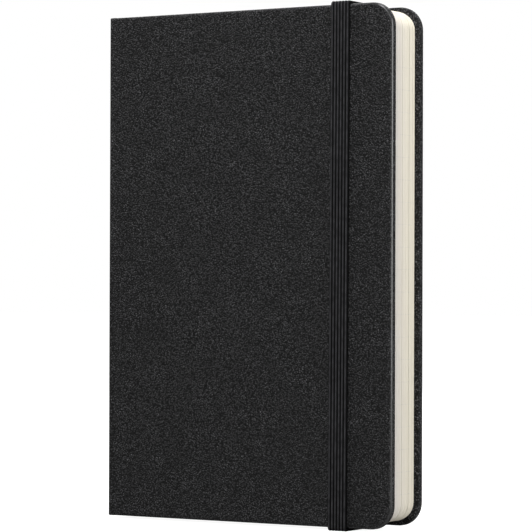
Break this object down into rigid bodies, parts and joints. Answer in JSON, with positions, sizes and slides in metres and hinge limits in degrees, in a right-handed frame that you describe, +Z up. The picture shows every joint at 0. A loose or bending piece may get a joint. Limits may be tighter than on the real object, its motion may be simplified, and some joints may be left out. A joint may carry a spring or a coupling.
{
  "type": "pocket notebook",
  "caption": "Hardcover pocket notebook with sewn pages, hinged covers, a vertical elastic closure, a ribbon marker and a gusseted rear pocket.",
  "frame": {"origin": "on the surface it stands on, under the middle of the overall box, with the notebook upright on its tail edge", "axes": "+Z up from tail to head, +X from the spine to the fore edge, +Y from the front cover to the back cover"},
  "size_m": [0.0914, 0.0192, 0.1417],
  "materials": {
    "leatherette": "black leatherette with a very fine pebble grain, satin",
    "greyboard": "grey binder's board",
    "paper": "warm ivory writing paper, matte",
    "endpaper": "heavier ivory endpaper, matte",
    "elastic": "black woven elastic with lengthwise ribs",
    "ribbon": "black satin ribbon",
    "thread": "white linen thread",
    "gauze": "stiffened cotton gauze",
    "gusset": "black bookcloth"
  },
  "bodies": {
    "book_block": {"spine_board": "greyboard", "spine_cloth": "leatherette", "spine_lining": "gauze", "sewing_threads": "thread", "ribbon_marker": "ribbon", "signature_07": "paper", "signature_08": "paper", "signature_09": "paper", "signature_10": "paper", "signature_11": "paper", "signature_12": "paper"},
    "front_cover": {"front_board": "greyboard", "front_cloth": "leatherette", "front_pastedown": "endpaper"},
    "front_flyleaf": {"front_flyleaf": "endpaper"},
    "signature_01": {"signature_01": "paper"},
    "signature_02": {"signature_02": "paper"},
    "signature_03": {"signature_03": "paper"},
    "signature_04": {"signature_04": "paper"},
    "signature_05": {"signature_05": "paper"},
    "signature_06": {"signature_06": "paper"},
    "back_cover": {"back_board": "greyboard", "back_cloth": "leatherette", "back_pastedown": "endpaper", "band_end_upper": "elastic", "band_end_lower": "elastic", "pocket_gusset_upper": "gusset", "pocket_gusset_lower": "gusset"},
    "pocket_panel": {"pocket_panel": "endpaper"},
    "back_flyleaf": {"back_flyleaf": "endpaper"},
    "closure_band": {"closure_band": "elastic"}
  },
  "joints": [
    {"name": "front_cover_hinge", "type": "hinge", "parent": "book_block", "child": "front_cover", "pos_m": [-0.0446, -0.0076, 0.07085], "axis": [0, 0, -1], "range_deg": [0, 179]},
    {"name": "back_cover_hinge", "type": "hinge", "parent": "book_block", "child": "back_cover", "pos_m": [-0.0446, 0.0076, 0.07085], "axis": [0, 0, 1], "range_deg": [0, 179]},
    {"name": "front_flyleaf_turn", "type": "hinge", "parent": "book_block", "child": "front_flyleaf", "pos_m": [-0.04091, -0.00628, 0.07085], "axis": [0, 0, -1], "range_deg": [0, 160], "deforming": ["front_flyleaf"]},
    {"name": "signature_01_turn", "type": "hinge", "parent": "book_block", "child": "signature_01", "pos_m": [-0.04348, -0.00572, 0.07085], "axis": [0, 0, -1], "range_deg": [0, 158], "deforming": ["signature_01"]},
    {"name": "signature_02_turn", "type": "hinge", "parent": "book_block", "child": "signature_02", "pos_m": [-0.04348, -0.00483, 0.07085], "axis": [0, 0, -1], "range_deg": [0, 155], "deforming": ["signature_02"]},
    {"name": "signature_03_turn", "type": "hinge", "parent": "book_block", "child": "signature_03", "pos_m": [-0.04348, -0.00393, 0.07085], "axis": [0, 0, -1], "range_deg": [0, 152], "deforming": ["signature_03"]},
    {"name": "signature_04_turn", "type": "hinge", "parent": "book_block", "child": "signature_04", "pos_m": [-0.04348, -0.00303, 0.07085], "axis": [0, 0, -1], "range_deg": [0, 149], "deforming": ["signature_04"]},
    {"name": "signature_05_turn", "type": "hinge", "parent": "book_block", "child": "signature_05", "pos_m": [-0.04348, -0.00214, 0.07085], "axis": [0, 0, -1], "range_deg": [0, 146], "deforming": ["signature_05"]},
    {"name": "signature_06_turn", "type": "hinge", "parent": "book_block", "child": "signature_06", "pos_m": [-0.04348, -0.00124, 0.07085], "axis": [0, 0, -1], "range_deg": [0, 143], "deforming": ["signature_06"]},
    {"name": "back_flyleaf_turn", "type": "hinge", "parent": "book_block", "child": "back_flyleaf", "pos_m": [-0.04091, 0.00492, 0.07085], "axis": [0, 0, 1], "range_deg": [0, 81], "deforming": ["back_flyleaf"]},
    {"name": "pocket_panel_open", "type": "hinge", "parent": "back_cover", "child": "pocket_panel", "pos_m": [0.04398, 0.00622, 0.07085], "axis": [0, 0, 1], "range_deg": [0, 9], "deforming": ["pocket_gusset_upper", "pocket_gusset_lower"]},
    {"name": "closure_band_stow", "type": "hinge", "parent": "back_cover", "child": "closure_band", "pos_m": [0.02975, 0.0092, 0.07085], "axis": [0, 0, 1], "range_deg": [0, 179], "deforming": ["closure_band"]}
  ],
  "couplings": [
    {"joint": "front_flyleaf_turn", "follows": "front_cover_hinge", "ratio": 0.89385},
    {"joint": "signature_01_turn", "follows": "front_cover_hinge", "ratio": 0.88268},
    {"joint": "signature_02_turn", "follows": "front_cover_hinge", "ratio": 0.86592},
    {"joint": "signature_03_turn", "follows": "front_cover_hinge", "ratio": 0.84916},
    {"joint": "signature_04_turn", "follows": "front_cover_hinge", "ratio": 0.8324},
    {"joint": "signature_05_turn", "follows": "front_cover_hinge", "ratio": 0.81564},
    {"joint": "signature_06_turn", "follows": "front_cover_hinge", "ratio": 0.79888},
    {"joint": "back_flyleaf_turn", "follows": "back_cover_hinge", "ratio": 0.45},
    {"joint": "pocket_panel_open", "follows": "back_cover_hinge", "ratio": 0.05},
    {"joint": "closure_band_stow", "follows": "front_cover_hinge", "ratio": 1}
  ]
}
